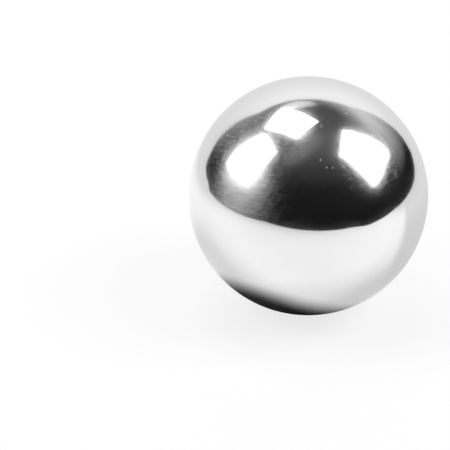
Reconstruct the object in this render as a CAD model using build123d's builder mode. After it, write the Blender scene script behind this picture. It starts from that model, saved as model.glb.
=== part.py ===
from build123d import *
import math
import os

# Hollow ball of mirror-polished stainless steel, in millimetres.
# Two pressed half shells are butt welded rim to rim, and the weld is ground flush
# and polished away outside, so the finished ball is one sealed piece.
# The origin is the ball's centre, and +Z runs through both poles, square to the weld.

# Driving sizes
outer_diameter = 100.0  # over the polished surface
wall_at_rim = 1.0  # full sheet thickness, kept beside the weld
wall_at_pole = 0.85  # where pressing the half shell thins the sheet most
root_width = 3.0  # weld root left inside, from toe to toe
root_height = 0.5  # weld root left inside, above the wall beside it

# Places on the section, worked out from the driving sizes
outer_radius = outer_diameter / 2
pole_inside = outer_radius - wall_at_pole
rim_inside = outer_radius - wall_at_rim
toe_height = root_width / 2
toe_inside = math.sqrt(rim_inside**2 - toe_height**2)
crown_inside = rim_inside - root_height

with BuildPart() as hollow_ball:
    # Polished outside: a half disc turned about the pole axis
    with BuildSketch(Plane.XZ):
        with BuildLine():
            ThreePointArc((0, -outer_radius), (outer_radius, 0), (0, outer_radius))
            Line((0, outer_radius), (0, -outer_radius))
        make_face()
    revolve(axis=Axis.Z)

    # Sealed hollow: each half's drawn inner face runs level off its pole to the
    # weld toe, and the weld root stands in as a low round ridge between the toes
    with BuildSketch(Plane.XZ):
        with BuildLine():
            drawn_face = TangentArc((0, pole_inside), (toe_inside, toe_height), tangent=(1, 0))
            ThreePointArc(drawn_face @ 1, (crown_inside, 0), (toe_inside, -toe_height))
            mirror(drawn_face, about=Plane.XZ)
            Line((0, -pole_inside), (0, pole_inside))
        make_face()
    revolve(axis=Axis.Z, mode=Mode.SUBTRACT)

hollow_ball.part.label = "hollow_ball"

os.makedirs("parts", exist_ok=True)
export_step(hollow_ball.part, "parts/hollow_ball.step")
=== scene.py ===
import math

import bmesh
import bpy
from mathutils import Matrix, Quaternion, Vector


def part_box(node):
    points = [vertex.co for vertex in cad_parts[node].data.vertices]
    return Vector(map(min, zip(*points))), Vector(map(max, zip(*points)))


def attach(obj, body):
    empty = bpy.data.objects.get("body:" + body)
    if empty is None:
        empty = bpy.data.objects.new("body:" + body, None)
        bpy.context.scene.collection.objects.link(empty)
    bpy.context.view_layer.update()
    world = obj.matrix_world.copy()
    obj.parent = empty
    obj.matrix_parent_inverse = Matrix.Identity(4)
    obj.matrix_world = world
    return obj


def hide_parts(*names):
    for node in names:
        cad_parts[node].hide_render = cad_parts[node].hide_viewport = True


millimetres = 1000  # in a metre

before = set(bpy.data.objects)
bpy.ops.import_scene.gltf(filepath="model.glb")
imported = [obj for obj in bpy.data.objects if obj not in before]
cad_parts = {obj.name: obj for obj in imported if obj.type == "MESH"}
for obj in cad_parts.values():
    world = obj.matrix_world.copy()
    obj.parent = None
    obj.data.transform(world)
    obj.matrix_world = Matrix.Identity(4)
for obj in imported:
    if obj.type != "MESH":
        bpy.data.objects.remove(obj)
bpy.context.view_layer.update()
ballLow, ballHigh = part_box("hollow_ball")
ballRadius = (ballHigh.z - ballLow.z) / 2
floorLevel = ballLow.z
print("frame loaded, ball radius", round(ballRadius * millimetres, 2), "mm")


def linearColour(hexText):
    channels = [int(hexText[i:i + 2], 16) / 255 for i in (1, 3, 5)]
    return [c / 12.92 if c <= 0.04045 else ((c + 0.055) / 1.055) ** 2.4 for c in channels] + [1]


def addNode(tree, kind, inputs=None, **settings):
    node = tree.nodes.new("ShaderNode" + kind)
    for name, value in settings.items():
        setattr(node, name, value)
    for name, value in (inputs or {}).items():
        if isinstance(value, bpy.types.NodeSocket):
            tree.links.new(value, node.inputs[name])
        else:
            node.inputs[name].default_value = value
    return node


def inRadii(parts):
    return [part * ballRadius for part in parts]


def wayTo(azimuth, elevation):
    a, e = math.radians(azimuth), math.radians(elevation)
    return Vector((math.cos(e) * math.sin(a), -math.cos(e) * math.cos(a), math.sin(e)))


def newMaterial(name):
    material = bpy.data.materials.new(name)
    material.use_nodes = True
    material.node_tree.nodes.clear()
    return material, material.node_tree


def meshObject(name, shape, material):
    mesh = bpy.data.meshes.new(name)
    shape.to_mesh(mesh)
    shape.free()
    mesh.materials.append(material)
    made = bpy.data.objects.new(name, mesh)
    bpy.context.collection.objects.link(made)
    return made


# Stainless steel, pressed, ground and buffed to a mirror: it takes nearly all its look from what stands
# round it. The buff's hairlines are too fine to see one by one, so they show as a haze beside bright lamps.
steelFinish = dict(
    colour="#F5F5F5",
    hairColour="#F1F1F1",  # the same steel where the buff has scored it
    roughness=0.035,
    hairHeights=(0.05, 0.45),  # in ball radii: handling has left more of them on the upper side
    hairLevels=(0.085, -0.018),  # of the noise, above which a line shows at those heights
    hairRoughness=0.18,
    hairDepth=0.0002,  # mm
    hairEdge=0.015,  # of the noise, softness of a line's edge
    scuffLevel=-0.2,  # of the noise, below which a hollow shows: away from the scuffs, none
    scuffHeights=(0.08, 0.24),  # in ball radii: no scuff below the first, all of it above the second
    scuffRoughness=0.3,
    scratchLevel=-0.4,  # of the noise, below which a scratch shows: away from their patches, none
    dustColour="#DCDCDA",
    dustRoughness=0.8,
    dustCell=2.3,  # mm, about one grain in each
    dustGrains=(-0.1, 0.3),  # mm, radius of the least and the largest: below nothing, the cell is clean
    dustEdge=0.4,  # softness of a grain's edge, as a share of the largest radius
    dustHeights=(0.45, 0.75),  # in ball radii: dust lies on the upper side
)
# each lot of hairlines runs round its own axis: turn of that axis in degrees, line spacing and length in mm,
# detail of the noise, and how far it counts. Grain is the buff's own, spin and hand are as coarse as the
# render needs to show them, and scratch and slant cross in short strokes
hairlines = dict(
    grain=dict(turn=(0, 0, 0), spacing=0.015, length=4.0, detail=3, weight=1.0),
    spin=dict(turn=(0, 0, 0), spacing=0.42, length=12.0, detail=3, weight=0.15),
    hand=dict(turn=(-47, 38, 0), spacing=0.45, length=10.0, detail=3, weight=0.12),
    scratch=dict(turn=(14, -8, 0), spacing=0.1, length=2.6, detail=0, weight=1.0),
    slant=dict(turn=(10, 44, 0), spacing=0.1, length=2.6, detail=0, weight=1.0),
)
# patches buffed more or less: middle in ball radii, reach in ball radii to where the patch starts to fade
# and is gone, and the level and roughness of the lines there
rubs = dict(
    shoulder=dict(middle=(-0.3, -0.55, 0.78), reach=(0.06, 0.24), level=-0.025, roughness=0.21),
    temple=dict(middle=(-0.58, -0.44, 0.68), reach=(0.08, 0.3), level=-0.045, roughness=0.24),
    brow=dict(middle=(-0.05, -0.62, 0.78), reach=(0.04, 0.18), level=-0.035, roughness=0.21),
    crown=dict(middle=(0.11, -0.5, 0.86), reach=(0.05, 0.17), level=0.06, roughness=0.18),
    cheek=dict(middle=(0.45, -0.74, 0.5), reach=(0.08, 0.2), level=-0.085, roughness=0.18),
    jaw=dict(middle=(0.73, -0.43, 0.53), reach=(0.06, 0.18), level=0.03, roughness=0.17),
)
# scuffed patches, where the hollows between the lines scatter widely too
scuffs = dict(
    flank=dict(middle=(-0.5, -0.77, 0.38), reach=(0.06, 0.58), level=0.06, roughness=0.42),
)
# patches with single scratches that show one by one
scratches = dict(
    cheek=dict(middle=(0.47, -0.63, 0.61), reach=(0.22, 0.36), level=-0.262, roughness=0.3),
    brow=dict(middle=(-0.28, -0.55, 0.78), reach=(0.15, 0.4), level=-0.24, roughness=0.3),
    temple=dict(middle=(-0.7, -0.35, 0.6), reach=(0.15, 0.4), level=-0.24, roughness=0.3),
)


def hairlineNoise(tree, place, lot):
    turn = [math.radians(angle) for angle in lot["turn"]]
    turned = addNode(tree, "Mapping", {"Vector": place, "Rotation": turn})
    axes = addNode(tree, "SeparateXYZ", {0: turned.outputs[0]})
    height = addNode(tree, "Math", {0: axes.outputs["Z"], 1: ballRadius}, operation="DIVIDE")
    arc = addNode(tree, "Math", {0: height.outputs[0]}, operation="ARCSINE")
    along = millimetres / lot["length"]
    linesPerRadian = ballRadius * millimetres / lot["spacing"]
    across = addNode(tree, "Math", {0: arc.outputs[0], 1: linesPerRadian}, operation="MULTIPLY")
    x = addNode(tree, "Math", {0: axes.outputs["X"], 1: along}, operation="MULTIPLY")
    y = addNode(tree, "Math", {0: axes.outputs["Y"], 1: along}, operation="MULTIPLY")
    streaks = addNode(tree, "CombineXYZ", {0: x.outputs[0], 1: y.outputs[0], 2: across.outputs[0]})
    grain = addNode(tree, "TexNoise", {"Vector": streaks.outputs[0], "Scale": 1, "Detail": lot["detail"],
                                       "Roughness": 1})
    # the noise swings about a half
    swing = addNode(tree, "Math", {0: grain.outputs["Fac"], 1: 0.5}, operation="SUBTRACT")
    weighed = addNode(tree, "Math", {0: swing.outputs[0], 1: lot["weight"]}, operation="MULTIPLY")
    return weighed.outputs[0]


def patchedLines(tree, place, patches, level, roughness):
    for patch in patches.values():
        full, gone = inRadii(patch["reach"])
        away = addNode(tree, "VectorMath", {0: place, 1: inRadii(patch["middle"])}, operation="DISTANCE")
        inside = addNode(tree, "MapRange", {"Value": away.outputs["Value"], "From Min": gone,
                                            "From Max": full}, interpolation_type="SMOOTHSTEP").outputs[0]
        level = addNode(tree, "Mix", {0: inside, 2: level, 3: patch["level"]}).outputs[0]
        roughness = addNode(tree, "Mix", {0: inside, 2: roughness, 3: patch["roughness"]}).outputs[0]
    return level, roughness


def mirrorPolishedStainless():
    finish = steelFinish
    edge = finish["hairEdge"]
    material, tree = newMaterial("mirrorPolishedStainless")
    place = addNode(tree, "TexCoord").outputs["Object"]
    axes = addNode(tree, "SeparateXYZ", {0: place})
    grain, spin, hand, scratch, slant = [hairlineNoise(tree, place, lot) for lot in hairlines.values()]

    # hairlines, more of them on the upper side
    crossed = addNode(tree, "Math", {0: spin, 1: hand}, operation="ADD")
    lines = addNode(tree, "Math", {0: grain, 1: crossed.outputs[0]}, operation="ADD")
    low, high = inRadii(finish["hairHeights"])
    few, many = finish["hairLevels"]
    level = addNode(tree, "MapRange", {"Value": axes.outputs["Z"], "From Min": low, "From Max": high,
                                       "To Min": few, "To Max": many}).outputs[0]
    level, scatter = patchedLines(tree, place, rubs, level, finish["hairRoughness"])
    above = addNode(tree, "Math", {0: lines.outputs[0], 1: level}, operation="SUBTRACT")
    hairs = addNode(tree, "MapRange", {"Value": above.outputs[0], "From Max": edge}).outputs["Result"]

    # scuffs, which dull the hollows between the lines
    hollow, wide = patchedLines(tree, place, scuffs, finish["scuffLevel"], finish["scuffRoughness"])
    low, high = inRadii(finish["scuffHeights"])
    scuffed = addNode(tree, "MapRange", {"Value": axes.outputs["Z"], "From Min": low, "From Max": high,
                                         "To Min": finish["scuffLevel"], "To Max": hollow})
    under = addNode(tree, "Math", {0: scuffed.outputs["Result"], 1: lines.outputs[0]}, operation="SUBTRACT")
    dull = addNode(tree, "MapRange", {"Value": under.outputs[0], "From Max": edge})

    # single scratches, of either lean
    deep, cut = patchedLines(tree, place, scratches, finish["scratchLevel"], finish["scuffRoughness"])
    either = addNode(tree, "Math", {0: scratch, 1: slant}, operation="MINIMUM")
    into = addNode(tree, "Math", {0: deep, 1: either.outputs[0]}, operation="SUBTRACT")
    scratched = addNode(tree, "MapRange", {"Value": into.outputs[0], "From Max": edge})

    # grains of dust, one to a cell
    grains = addNode(tree, "TexVoronoi", {"Vector": place, "Scale": millimetres / finish["dustCell"]})
    least, largest = [radius / finish["dustCell"] for radius in finish["dustGrains"]]
    each = addNode(tree, "SeparateXYZ", {0: grains.outputs["Color"]})
    reach = addNode(tree, "MapRange", {"Value": each.outputs["X"], "To Min": least, "To Max": largest})
    inside = addNode(tree, "Math", {0: reach.outputs["Result"], 1: grains.outputs["Distance"]},
                     operation="SUBTRACT")
    speck = addNode(tree, "MapRange", {"Value": inside.outputs[0], "From Max": largest * finish["dustEdge"]})
    bare, dusty = inRadii(finish["dustHeights"])
    upward = addNode(tree, "MapRange", {"Value": axes.outputs["Z"], "From Min": bare, "From Max": dusty})
    dust = addNode(tree, "Math", {0: speck.outputs["Result"], 1: upward.outputs["Result"]},
                   operation="MULTIPLY")

    steel = addNode(tree, "Mix", {0: hairs, 6: linearColour(finish["colour"]),
                                  7: linearColour(finish["hairColour"])}, data_type="RGBA")
    colour = addNode(tree, "Mix", {0: dust.outputs[0], 6: steel.outputs[2],
                                   7: linearColour(finish["dustColour"])}, data_type="RGBA")
    clean = addNode(tree, "Math", {0: 1, 1: dust.outputs[0]}, operation="SUBTRACT")
    buffed = addNode(tree, "MapRange", {"Value": hairs, "To Min": finish["roughness"], "To Max": scatter})
    dulled = addNode(tree, "Mix", {0: dull.outputs["Result"], 2: buffed.outputs["Result"], 3: wide})
    marked = addNode(tree, "Mix", {0: scratched.outputs["Result"], 2: dulled.outputs[0], 3: cut})
    rough = addNode(tree, "Mix", {0: dust.outputs[0], 2: marked.outputs[0], 3: finish["dustRoughness"]})
    depth = finish["hairDepth"] / millimetres
    scored = addNode(tree, "Bump", {"Height": hairs, "Distance": depth}, invert=True)
    shader = addNode(tree, "BsdfPrincipled", {
        "Base Color": colour.outputs[2],
        "Metallic": clean.outputs[0],
        "Roughness": rough.outputs[0],
        "Normal": scored.outputs["Normal"],
    })
    addNode(tree, "OutputMaterial", {"Surface": shader.outputs[0]})
    return material


ballShape = dict(
    wallAtRim=0.001,  # full sheet beside the weld, in metres
    wallAtPole=0.00085,  # the sheet where pressing thins it most
    rootWidth=0.003,  # weld root inside, toe to toe
    rootHeight=0.0005,
    skinRing=288,  # steps round the pole axis, polished side
    skinSteps=72,  # pole to weld, polished side
    hollowRing=96,  # steps round the pole axis, inside
    hollowSteps=24,  # pole to weld toe, inside
    rootSteps=4,  # weld toe to weld plane, inside
    mergeReach=1e-7,
)


def spunSkin(shape, pole, arcs, ringSteps):
    # arcs lead from the pole to the weld plane, then the half is turned and mirrored
    mergeReach = ballShape["mergeReach"]
    before = set(shape.verts)
    tip = shape.verts.new((0, 0, pole))
    for centre, angle, steps in arcs:
        run = bmesh.ops.spin(shape, geom=[tip], cent=centre, axis=(0, 1, 0), angle=angle, steps=steps)
        tip = next(part for part in run["geom_last"] if isinstance(part, bmesh.types.BMVert))
    profile = [vert for vert in shape.verts if vert not in before]
    profile += [edge for edge in shape.edges if edge.verts[0] not in before]
    bmesh.ops.spin(shape, geom=profile, cent=(0, 0, 0), axis=(0, 0, 1), angle=math.tau,
                   steps=ringSteps, use_merge=True)
    half = [vert for vert in shape.verts if vert not in before]
    half += [edge for edge in shape.edges if edge.verts[0] not in before]
    half += [face for face in shape.faces if face.verts[0] not in before]
    bmesh.ops.mirror(shape, geom=half, axis="Z", merge_dist=mergeReach)
    skin = [vert for vert in shape.verts if vert not in before]
    bmesh.ops.remove_doubles(shape, verts=skin, dist=mergeReach)
    faces = [face for face in shape.faces if face.verts[0] not in before]
    bmesh.ops.recalc_face_normals(shape, faces=faces)
    return faces


def makeBall(material):
    size = ballShape
    poleInside = ballRadius - size["wallAtPole"]
    rimInside = ballRadius - size["wallAtRim"]
    crownInside = rimInside - size["rootHeight"]
    toeUp = size["rootWidth"] / 2
    toeOut = math.sqrt(rimInside ** 2 - toeUp ** 2)
    drawnCentre = (poleInside ** 2 - rimInside ** 2) / (2 * (poleInside - toeUp))  # up the pole axis
    drawnAngle = math.atan2(toeOut, toeUp - drawnCentre)
    rootCentre = (rimInside ** 2 - crownInside ** 2) / (2 * (toeOut - crownInside))  # out along X
    rootAngle = math.atan2(toeUp, rootCentre - toeOut)

    shape = bmesh.new()
    hollow = spunSkin(shape, poleInside, [
        ((0, 0, drawnCentre), drawnAngle, size["hollowSteps"]),
        ((rootCentre, 0, 0), -rootAngle, size["rootSteps"]),
    ], size["hollowRing"])
    bmesh.ops.reverse_faces(shape, faces=hollow)  # the hollow's wall faces the air inside
    spunSkin(shape, ballRadius, [((0, 0, 0), math.pi / 2, size["skinSteps"])], size["skinRing"])
    for face in shape.faces:
        face.smooth = True
    ball = meshObject("polishedBall", shape, material)
    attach(ball, "root")
    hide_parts("hollow_ball")
    return ball


ball = makeBall(mirrorPolishedStainless())
print("ball made,", len(ball.data.polygons), "faces")


# The stage: a white table with a white panel behind it, and a dark surround, which only the polish shows,
# and a pale floor, which only the camera sees. The panel and the surround glow with painted light, and the
# table carries painted shade and glow. Places and reaches are in ball radii, from the ball's middle
tableShape = dict(
    colour="#F7F7F7",
    tones=(0.64, 0.76),  # painted tones of the table's glow: in the shade beside the ball, and farther off, where the table is plain
    toneReach=(1.5, 5),
    farReach=(4, 10),  # from lit to the painted glow, going out
    backReach=(-3, 3),  # and along Y, going back
    shadeWay=(-0.19, 1, 0),  # across the edge of the painted shade on the right
    shadeEdge=(-0.9, -0.4),  # along that way
    shadeRight=(0.3, 1.2),  # along X
    contactShadow=(-0.25, -0.2, -1),  # middle of the painted contact shadow under the ball, where the table's colour is darkened
    # painted contact shadow: where it is darkest and where it is gone, and the share of the colour left in
    # its middle
    contactShadowReach=(0.34, 0.82),
    contactShadowTone=0.05,
    outline=[(-9.8, -13.3), (6.3, -7.4), (6.5, -5.0), (13, -1.4), (15.5, 4), (18.7, 11.4), (30, 25),
             (-45, 25), (-45, 16.6), (-23, 6.5), (-14.8, 3)],
)
panelShape = dict(
    tones=(0.775, 0.98),  # painted light: the panel's glow, low and high
    heights=(2, 13),
    behind=11,
    turn=20,
    outline=[(-16, -1), (-9.2, 0.5), (-7.3, 3.6), (-6.3, 8.5), (-5.6, 12), (-0.4, 14.7), (3.6, 16.9),
             (8.5, 18.6), (15.6, 19.4), (18.2, 14.3), (20.1, 9), (20.4, 5), (23, 1.1), (32, -1)],
)
floorShape = dict(
    halfWidth=6,  # metres
    drop=0.0002,  # metres below the table
    whiteReach=(1, 3.5),
    leastWhite=0.78,  # share of plain white beside the ball, the rest is lit and keeps the shadow
)
# seen from the middle, so these are parts of a way of length 1: X is right, Y is behind, Z is up
surroundShape = dict(
    radius=2.0,  # metres
    segments=(64, 32),
    heightTones=[(0, 0.004), (0.5, 0.01), (0.75, 0.035), (0.9, 0.07), (1, 0.085)],  # Z and its painted tone
    washTone=0.6,  # painted spilt light, lighter behind, and more so to the right
    washBehind=(0.1, 0.5),  # Y from none to full
    washAbove=(0.15, 0.6),  # Z from none to full
    washBelow=(0.88, 0.7),  # Z from none to full, going down
    washRight=(-0.4, 0.4),  # X from the left's share to full
    leftShare=0.3,
    # light spilt on it: azimuth and elevation, turn about Z, half its size along the turned X, Y and Z,
    # and where in that size it starts to fade and is gone
    glows=dict(
        behind=dict(tone=0.75, way=(-161, 60), turn=0, reach=(0.2, 0.12, 0.055), fade=(0.7, 1.3)),
        between=dict(tone=0.11, way=(-20, 66), turn=37, reach=(0.3, 0.15, 0.3), fade=(0.5, 1.5)),
    ),
)


def whiteTable():
    # lit round the ball and in front of it, darkened by a painted contact shadow where the ball touches it,
    # and plain and pale toward the back and in the shade on the right, where it glows with a painted tone
    size = tableShape
    material, tree = newMaterial("whiteTable")
    place = addNode(tree, "TexCoord").outputs["Object"]
    axes = addNode(tree, "SeparateXYZ", {0: place})
    reach = addNode(tree, "VectorMath", {0: place}, operation="LENGTH")
    shadeWay = addNode(tree, "VectorMath", {0: place, 1: size["shadeWay"]}, operation="DOT_PRODUCT")
    # distance from the middle of the painted contact shadow
    contactShadow = addNode(tree, "VectorMath", {0: place, 1: inRadii(size["contactShadow"])}, operation="DISTANCE")
    shares = []
    for value, limits, least in [
        (reach.outputs["Value"], size["farReach"], 0),
        (axes.outputs["Y"], size["backReach"], 0),
        (shadeWay.outputs["Value"], size["shadeEdge"], 0),
        (axes.outputs["X"], size["shadeRight"], 0),
        (contactShadow.outputs["Value"], size["contactShadowReach"], size["contactShadowTone"]),
    ]:
        start, end = inRadii(limits)
        share = addNode(tree, "MapRange", {"Value": value, "From Min": start, "From Max": end,
                                           "To Min": least}, interpolation_type="SMOOTHSTEP")
        shares.append(share.outputs["Result"])
    far, back, edge, right, bare = shares
    beyond = addNode(tree, "Math", {0: far, 1: back}, operation="MULTIPLY")
    shade = addNode(tree, "Math", {0: edge, 1: right}, operation="MULTIPLY")
    fade = addNode(tree, "Math", {0: beyond.outputs[0], 1: shade.outputs[0]}, operation="MAXIMUM")
    # painted contact shadow: the colour darkens toward black near the ball's foot
    colour = addNode(tree, "Mix", {0: bare, 6: (0, 0, 0, 1), 7: linearColour(size["colour"])},
                     data_type="RGBA")
    lit = addNode(tree, "BsdfDiffuse", {"Color": colour.outputs[2]})
    start, end = inRadii(size["toneReach"])
    nearTone, farTone = size["tones"]
    tone = addNode(tree, "MapRange", {"Value": reach.outputs["Value"], "From Min": start, "From Max": end,
                                      "To Min": nearTone, "To Max": farTone})
    # painted light and shade: the table glows at this tone, darker in the shade beside the ball and paler
    # farther off
    plain = addNode(tree, "Emission", {"Strength": tone.outputs["Result"]})
    both = addNode(tree, "MixShader", {0: fade.outputs[0], 1: lit.outputs[0], 2: plain.outputs[0]})
    addNode(tree, "OutputMaterial", {"Surface": both.outputs[0]})
    return material


def palePanel():
    # painted light: the panel glows, dimmer low and brighter high
    material, tree = newMaterial("palePanel")
    place = addNode(tree, "TexCoord")
    axes = addNode(tree, "SeparateXYZ", {0: place.outputs["Object"]})
    low, high = inRadii(panelShape["heights"])
    dim, bright = panelShape["tones"]
    tone = addNode(tree, "MapRange", {"Value": axes.outputs["Z"], "From Min": low, "From Max": high,
                                      "To Min": dim, "To Max": bright})
    glow = addNode(tree, "Emission", {"Strength": tone.outputs["Result"]})
    addNode(tree, "OutputMaterial", {"Surface": glow.outputs[0]})
    return material


def paleFloor():
    # lit like the table round the ball, so that it keeps the shadow, and plain white farther out
    material, tree = newMaterial("paleFloor")
    place = addNode(tree, "TexCoord")
    reach = addNode(tree, "VectorMath", {0: place.outputs["Object"]}, operation="LENGTH")
    start, end = inRadii(floorShape["whiteReach"])
    fade = addNode(tree, "MapRange", {"Value": reach.outputs["Value"], "From Min": start, "From Max": end,
                                      "To Min": floorShape["leastWhite"]}, interpolation_type="SMOOTHSTEP")
    lit = addNode(tree, "BsdfDiffuse", {"Color": linearColour(tableShape["colour"])})
    plain = addNode(tree, "Emission", {"Color": (1, 1, 1, 1), "Strength": 1})
    both = addNode(tree, "MixShader", {0: fade.outputs["Result"], 1: lit.outputs[0], 2: plain.outputs[0]})
    addNode(tree, "OutputMaterial", {"Surface": both.outputs[0]})
    return material


def darkSurround():
    # painted light and shade: the surround glows, near black low and lighter high, with painted washes and
    # patches of spilt light
    size = surroundShape
    material, tree = newMaterial("darkSurround")
    place = addNode(tree, "TexCoord")
    way = addNode(tree, "VectorMath", {0: place.outputs["Object"]}, operation="NORMALIZE")
    axes = addNode(tree, "SeparateXYZ", {0: way.outputs["Vector"]})
    heights = addNode(tree, "ValToRGB", {"Fac": axes.outputs["Z"]})
    tones = heights.color_ramp
    first, *between, last = size["heightTones"]
    tones.elements[0].color = [first[1]] * 3 + [1]
    tones.elements[1].color = [last[1]] * 3 + [1]
    for at, grey in between:
        tones.elements.new(at).color = [grey] * 3 + [1]

    washes = []
    for axis, limits, least, most in [
        ("Y", size["washBehind"], 0, size["washTone"]),
        ("Z", size["washAbove"], 0, 1),
        ("Z", size["washBelow"], 0, 1),
        ("X", size["washRight"], size["leftShare"], 1),
    ]:
        start, end = limits
        wash = addNode(tree, "MapRange", {"Value": axes.outputs[axis], "From Min": start, "From Max": end,
                                          "To Min": least, "To Max": most})
        washes.append(wash.outputs["Result"])
    pale, *others = washes
    for share in others:
        pale = addNode(tree, "Math", {0: pale, 1: share}, operation="MULTIPLY").outputs[0]
    for glow in size["glows"].values():
        toGlow = addNode(tree, "VectorMath", {0: way.outputs["Vector"], 1: wayTo(*glow["way"])},
                         operation="SUBTRACT")
        turned = addNode(tree, "VectorRotate", {"Vector": toGlow.outputs["Vector"],
                                                "Angle": -math.radians(glow["turn"])},
                         rotation_type="Z_AXIS")
        inGlow = addNode(tree, "VectorMath", {0: turned.outputs["Vector"], 1: glow["reach"]},
                         operation="DIVIDE")
        offGlow = addNode(tree, "VectorMath", {0: inGlow.outputs["Vector"]}, operation="LENGTH")
        full, gone = glow["fade"]
        spilt = addNode(tree, "MapRange", {"Value": offGlow.outputs["Value"], "From Min": gone,
                                           "From Max": full, "To Max": glow["tone"]})
        pale = addNode(tree, "Math", {0: pale, 1: spilt.outputs[0]}, operation="MAXIMUM").outputs[0]
    both = addNode(tree, "Mix", {0: 1, 6: heights.outputs[0], 7: pale}, data_type="RGBA", blend_type="ADD")
    shown = addNode(tree, "Emission", {"Color": both.outputs[2], "Strength": 1})
    addNode(tree, "OutputMaterial", {"Surface": shown.outputs[0]})
    return material


def makeStage():
    shape = bmesh.new()
    bmesh.ops.create_grid(shape, x_segments=1, y_segments=1, size=floorShape["halfWidth"])
    bmesh.ops.translate(shape, verts=shape.verts, vec=(0, 0, floorLevel - floorShape["drop"]))
    floor = meshObject("floor", shape, paleFloor())
    floor.visible_glossy = False

    shape = bmesh.new()
    corners = [(x * ballRadius, y * ballRadius, floorLevel) for x, y in tableShape["outline"]]
    shape.faces.new([shape.verts.new(corner) for corner in corners])
    table = meshObject("table", shape, whiteTable())

    shape = bmesh.new()
    corners = [Vector((x, panelShape["behind"], z)) * ballRadius for x, z in panelShape["outline"]]
    shape.faces.new([shape.verts.new(corner) for corner in corners])
    turned = Quaternion((0, 0, 1), math.radians(panelShape["turn"])).to_matrix()
    bmesh.ops.rotate(shape, verts=shape.verts, cent=(0, 0, 0), matrix=turned)
    panel = meshObject("panel", shape, palePanel())

    shape = bmesh.new()
    around, upward = surroundShape["segments"]
    bmesh.ops.create_uvsphere(shape, u_segments=around, v_segments=upward, radius=surroundShape["radius"])
    surround = meshObject("surround", shape, darkSurround())
    surround.visible_diffuse = False
    table.visible_diffuse = False
    for thing in (table, panel, surround):
        thing.visible_camera = False
        thing.visible_shadow = False


makeStage()
print("stage set")


# Three softboxes of one size, in metres and watts: where each stands round the ball, and the way its back
# looks, a little off the ball
lampSize = dict(width=0.5, height=0.7)
lamps = dict(
    leftLamp=dict(power=5.2, azimuth=-76.2, elevation=41.7, distance=0.955, facing=(-71.4, 12.0), roll=-4.2),
    topLamp=dict(power=3.6, azimuth=-117.0, elevation=72.9, distance=1.16, facing=(-101.3, 87.9),
                 roll=151.3),
    rightLamp=dict(power=6.3, azimuth=79.4, elevation=46.9, distance=0.89, facing=(89.4, 17.6), roll=11.4),
)


def makeLamps():
    for name, lamp in lamps.items():
        light = bpy.data.lights.new(name, "AREA")
        light.shape = "RECTANGLE"
        light.size, light.size_y = lampSize["width"], lampSize["height"]
        light.energy = lamp["power"]
        made = bpy.data.objects.new(name, light)
        made.location = wayTo(lamp["azimuth"], lamp["elevation"]) * lamp["distance"]
        made.rotation_mode = "QUATERNION"
        roll = Quaternion((0, 0, 1), math.radians(lamp["roll"]))
        made.rotation_quaternion = wayTo(*lamp["facing"]).to_track_quat("Z", "Y") @ roll
        made.visible_camera = False
        bpy.context.collection.objects.link(made)


makeLamps()
print("lamps lit")


def makeWorld():
    # white wherever it is seen or mirrored, and no light of its own
    world = bpy.data.worlds.new("whiteWorld")
    bpy.context.scene.world = world
    world.use_nodes = True
    tree = world.node_tree
    tree.nodes.clear()
    rays = addNode(tree, "LightPath")
    seen = addNode(tree, "Math", {0: rays.outputs["Is Camera Ray"], 1: rays.outputs["Is Glossy Ray"]},
                   operation="MAXIMUM")
    shown = addNode(tree, "Math", {0: seen.outputs[0], 1: rays.outputs["Is Transmission Ray"]},
                    operation="MAXIMUM")
    back = addNode(tree, "Background", {"Color": (1, 1, 1, 1), "Strength": shown.outputs[0]})
    addNode(tree, "OutputWorld", {"Surface": back.outputs[0]})


makeWorld()
print("world white")

# The photograph's view: 450 pixels square, with the ball's middle at this pixel
cameraView = dict(
    lens=80,  # mm
    sensor=36,  # mm
    nearest=0.01,  # metres
    elevation=24.0,
    distance=8.46,  # in ball radii
    pixels=450,
    ballAt=(307.1, 196.17),
)


def makeCamera():
    view = cameraView
    data = bpy.data.cameras.new("camera")
    data.lens = view["lens"]
    data.sensor_width = view["sensor"]
    data.clip_start = view["nearest"]
    focal = view["lens"] / view["sensor"] * view["pixels"]
    right = (view["ballAt"][0] - view["pixels"] / 2) / focal
    up = (view["pixels"] / 2 - view["ballAt"][1]) / focal
    reach = math.sqrt(1 + right ** 2 + up ** 2)
    elevation = math.radians(view["elevation"])
    pitch = math.atan(up) + math.asin(reach * math.sin(elevation) / math.sqrt(1 + up ** 2))
    yaw = math.atan2(right, up * math.sin(pitch) + math.cos(pitch))
    made = bpy.data.objects.new("camera", data)
    made.location = wayTo(0, view["elevation"]) * view["distance"] * ballRadius
    made.rotation_euler = (math.pi / 2 - pitch, 0, yaw)
    bpy.context.collection.objects.link(made)
    bpy.context.scene.camera = made


makeCamera()
bpy.context.scene.view_settings.view_transform = "Standard"
print("camera placed")
